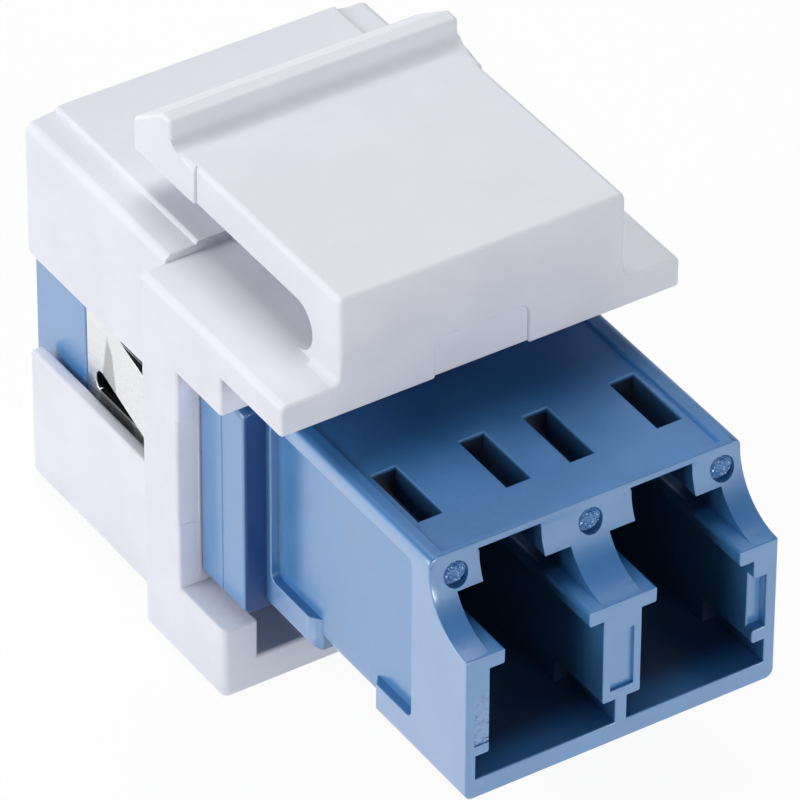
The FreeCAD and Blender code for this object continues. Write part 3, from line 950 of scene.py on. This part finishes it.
front = make_half("front_housing", "front_half", -1)
rear = make_half("rear_housing", "rear_half", 1)

# %% [markdown]
# The clip's tongues spring in when the holder goes on, so the rear half has a pocket behind each of them.
# Three ejector pins pushed each half out of its mould and left round hollows above the ports. Both are
# plain cuts, so a block or a rod is taken out of the rounded half for each.

# %% Pockets behind the tongues and hollows of the ejector pins
TONGUE_POCKET = ((5.65, 6.6), (3.4, 6.55), (-1.15, 0.5))
MARKS_X = (-5.38, 0.14, 5.62)
MARK_Z = 4.87
MARK_STATION = 11.86
HOLLOW_RADIUS, HOLLOW_LENGTH, HOLLOW_SIDES = 0.50, 1.0, 48
LYING = (math.pi / 2, 0, 0)

for side in (-1, 1):
    low, high = zip(*TONGUE_POCKET)
    carve(rear, add_block((side * low[0], *low[1:]), (side * high[0], *high[1:])))

for piece, outward in ((front, -1), (rear, 1)):
    for mark_x in MARKS_X:
        middle = (mark_x, SEAM + outward * (MARK_STATION + HOLLOW_LENGTH / 2), MARK_Z)
        carve(piece, add_rod(middle, HOLLOW_RADIUS, HOLLOW_LENGTH, LYING, HOLLOW_SIDES))
    print(piece.name, "carved", len(piece.data.polygons), "faces")

# %% [markdown]
# The melt entered the front half through a gate beside one port. It was broken off there and left a torn
# patch with a ragged edge. A fine grid with shaken vertices is thickened and cut out of the wall, so both
# the ragged outline and the rough bottom are real shape.

# %% Torn gate
PORT_FACE = SEAM - HALF_LENGTH
TEAR_DEPTH = 0.06
TEAR_CELLS = (16, 50)
TEAR_SHAKE, TEAR_SEED = 0.035, 4
TEAR_REACH = 0.3

tear_middle = Vector((sum(GATE_X) / 2, PORT_FACE + TEAR_DEPTH, sum(GATE_Z) / 2)) * MM
bpy.ops.object.select_all(action="DESELECT")
bpy.ops.mesh.primitive_grid_add(
    x_subdivisions=TEAR_CELLS[0], y_subdivisions=TEAR_CELLS[1], size=1, location=tear_middle, rotation=LYING
)
tear = bpy.context.object
tear.scale = ((GATE_X[1] - GATE_X[0]) * MM, (GATE_Z[1] - GATE_Z[0]) * MM, 1)
bpy.ops.object.transform_apply(location=True, rotation=True, scale=True)
bpy.ops.object.mode_set(mode="EDIT")
bpy.ops.mesh.select_all(action="SELECT")
bpy.ops.transform.vertex_random(offset=TEAR_SHAKE * MM, seed=TEAR_SEED)
bpy.ops.mesh.extrude_region_move(TRANSFORM_OT_translate={"value": (0, -TEAR_REACH * MM, 0)})
bpy.ops.mesh.select_all(action="SELECT")
bpy.ops.mesh.normals_make_consistent(inside=False)
bpy.ops.object.mode_set(mode="OBJECT")
carve(front, tear)
print("front half with torn gate", len(front.data.polygons), "faces")

# %% [markdown]
# A few burrs stand in the torn patch, where strands of plastic were pulled before they broke. Each is a
# small ball, pressed flat against the wall, drawn out upwards and shaken a little.

# %% Burrs in the torn patch
BURRS = ((-6.02, -0.72, 0.05), (-5.63, -0.78, 0.08), (-5.72, 1.12, 0.05), (-5.95, 0.35, 0.045))
BURR_FLAT, BURR_TALL, BURR_SHAKE = 0.6, 1.3, 0.1

burrs = []
for count, (burr_x, burr_z, size) in enumerate(BURRS):
    bpy.ops.object.select_all(action="DESELECT")
    place_of_burr = [value * MM for value in (burr_x, PORT_FACE + TEAR_DEPTH, burr_z)]
    bpy.ops.mesh.primitive_ico_sphere_add(subdivisions=3, radius=size * MM, location=place_of_burr)
    burr = bpy.context.object
    bpy.ops.object.transform_apply(location=True, rotation=True, scale=True)
    bpy.ops.object.mode_set(mode="EDIT")
    bpy.ops.mesh.select_all(action="SELECT")
    flat = BURR_FLAT * TEAR_DEPTH / size
    bpy.ops.transform.resize(value=(1, flat, BURR_TALL), center_override=place_of_burr)
    bpy.ops.transform.vertex_random(offset=BURR_SHAKE * size * MM, seed=count)
    bpy.ops.object.mode_set(mode="OBJECT")
    burrs.append(burr)
bpy.ops.object.select_all(action="DESELECT")
for burr in burrs:
    burr.select_set(True)
bpy.context.view_layer.objects.active = burrs[0]
bpy.ops.object.join()
gate_burrs = bpy.context.object
gate_burrs.name = "gate_burrs"
finish_surface(gate_burrs, blue_plastic)
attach(gate_burrs, "module")
print("burrs", len(BURRS))

# %% [markdown]
# All cuts in the two halves are done, so now they are smoothed and dressed. Each cut makes new faces, which
# would have to be smoothed again if this came earlier.

# %% Finish the halves
for piece, node in ((front, "front_housing"), (rear, "rear_housing")):
    finish_surface(piece, blue_plastic)
    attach(piece, "module")
    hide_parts(node)
    print(piece.name, "dressed")

# %% [markdown]
# The ends of the ejector pins were rough, so each hollow has a pebbled floor. A ball is flattened and its
# vertices are shaken in and out once, and every hollow gets its own copy.

# %% Ejector marks
MARK_RADIUS, MARK_FLAT = 0.48, 0.2
MARK_SHAKE, MARK_SEED = 0.03, 9
PEBBLE_SMOOTH = math.radians(20)

bpy.ops.object.select_all(action="DESELECT")
bpy.ops.mesh.primitive_ico_sphere_add(subdivisions=5, radius=MARK_RADIUS * MM)
pebbled = bpy.context.object
bpy.ops.object.mode_set(mode="EDIT")
bpy.ops.mesh.select_all(action="SELECT")
bpy.ops.transform.resize(value=(1, MARK_FLAT, 1))
bpy.ops.transform.vertex_random(offset=MARK_SHAKE * MM, normal=1.0, seed=MARK_SEED)
bpy.ops.object.mode_set(mode="OBJECT")

for half, outward in (("front", -1), ("rear", 1)):
    for count, mark_x in enumerate(MARKS_X):
        disc = bpy.data.objects.new(f"{half}_ejector_mark_{count}", pebbled.data.copy())
        scene.collection.objects.link(disc)
        mark_place = Vector((mark_x, SEAM + outward * MARK_STATION, MARK_Z)) * MM
        disc.data.transform(Matrix.Translation(mark_place))
        finish_surface(disc, blue_plastic, PEBBLE_SMOOTH)
        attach(disc, "module")
bpy.data.objects.remove(pebbled)
print("ejector marks", 2 * len(MARKS_X))

# %% [markdown]
# The clip is a saddle of spring strip. Stamping leaves its edges only slightly rolled, so one small radius
# goes all around it, except in two tight corners where a rounding would fold over.

# %% Mounting clip
SLOT_END = (ANY, (5.95, 6.15), (-1.08, -0.92))
UPPER_CORNER = (ANY, (6.6, FAR), (4.5, FAR))
CLIP_RADII = ((SLOT_END, 0), (UPPER_CORNER, 0), (EVERYWHERE, 0.04))

clip = node_copy("mounting_clip", "clip_strip")
round_edges(clip, rule_of(CLIP_RADII))
finish_surface(clip, spring_steel)
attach(clip, "module")
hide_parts("mounting_clip")

# %% [markdown]
# The sleeves lie deep in the barrels, where no edge of theirs shows. Their solids stay as they are and only
# get the ceramic.

# %% Sleeves
for node in ("split_sleeve_left", "split_sleeve_right"):
    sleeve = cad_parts[node]
    sleeve.data.materials.clear()
    sleeve.data.materials.append(ceramic)
    print(node, "dressed")
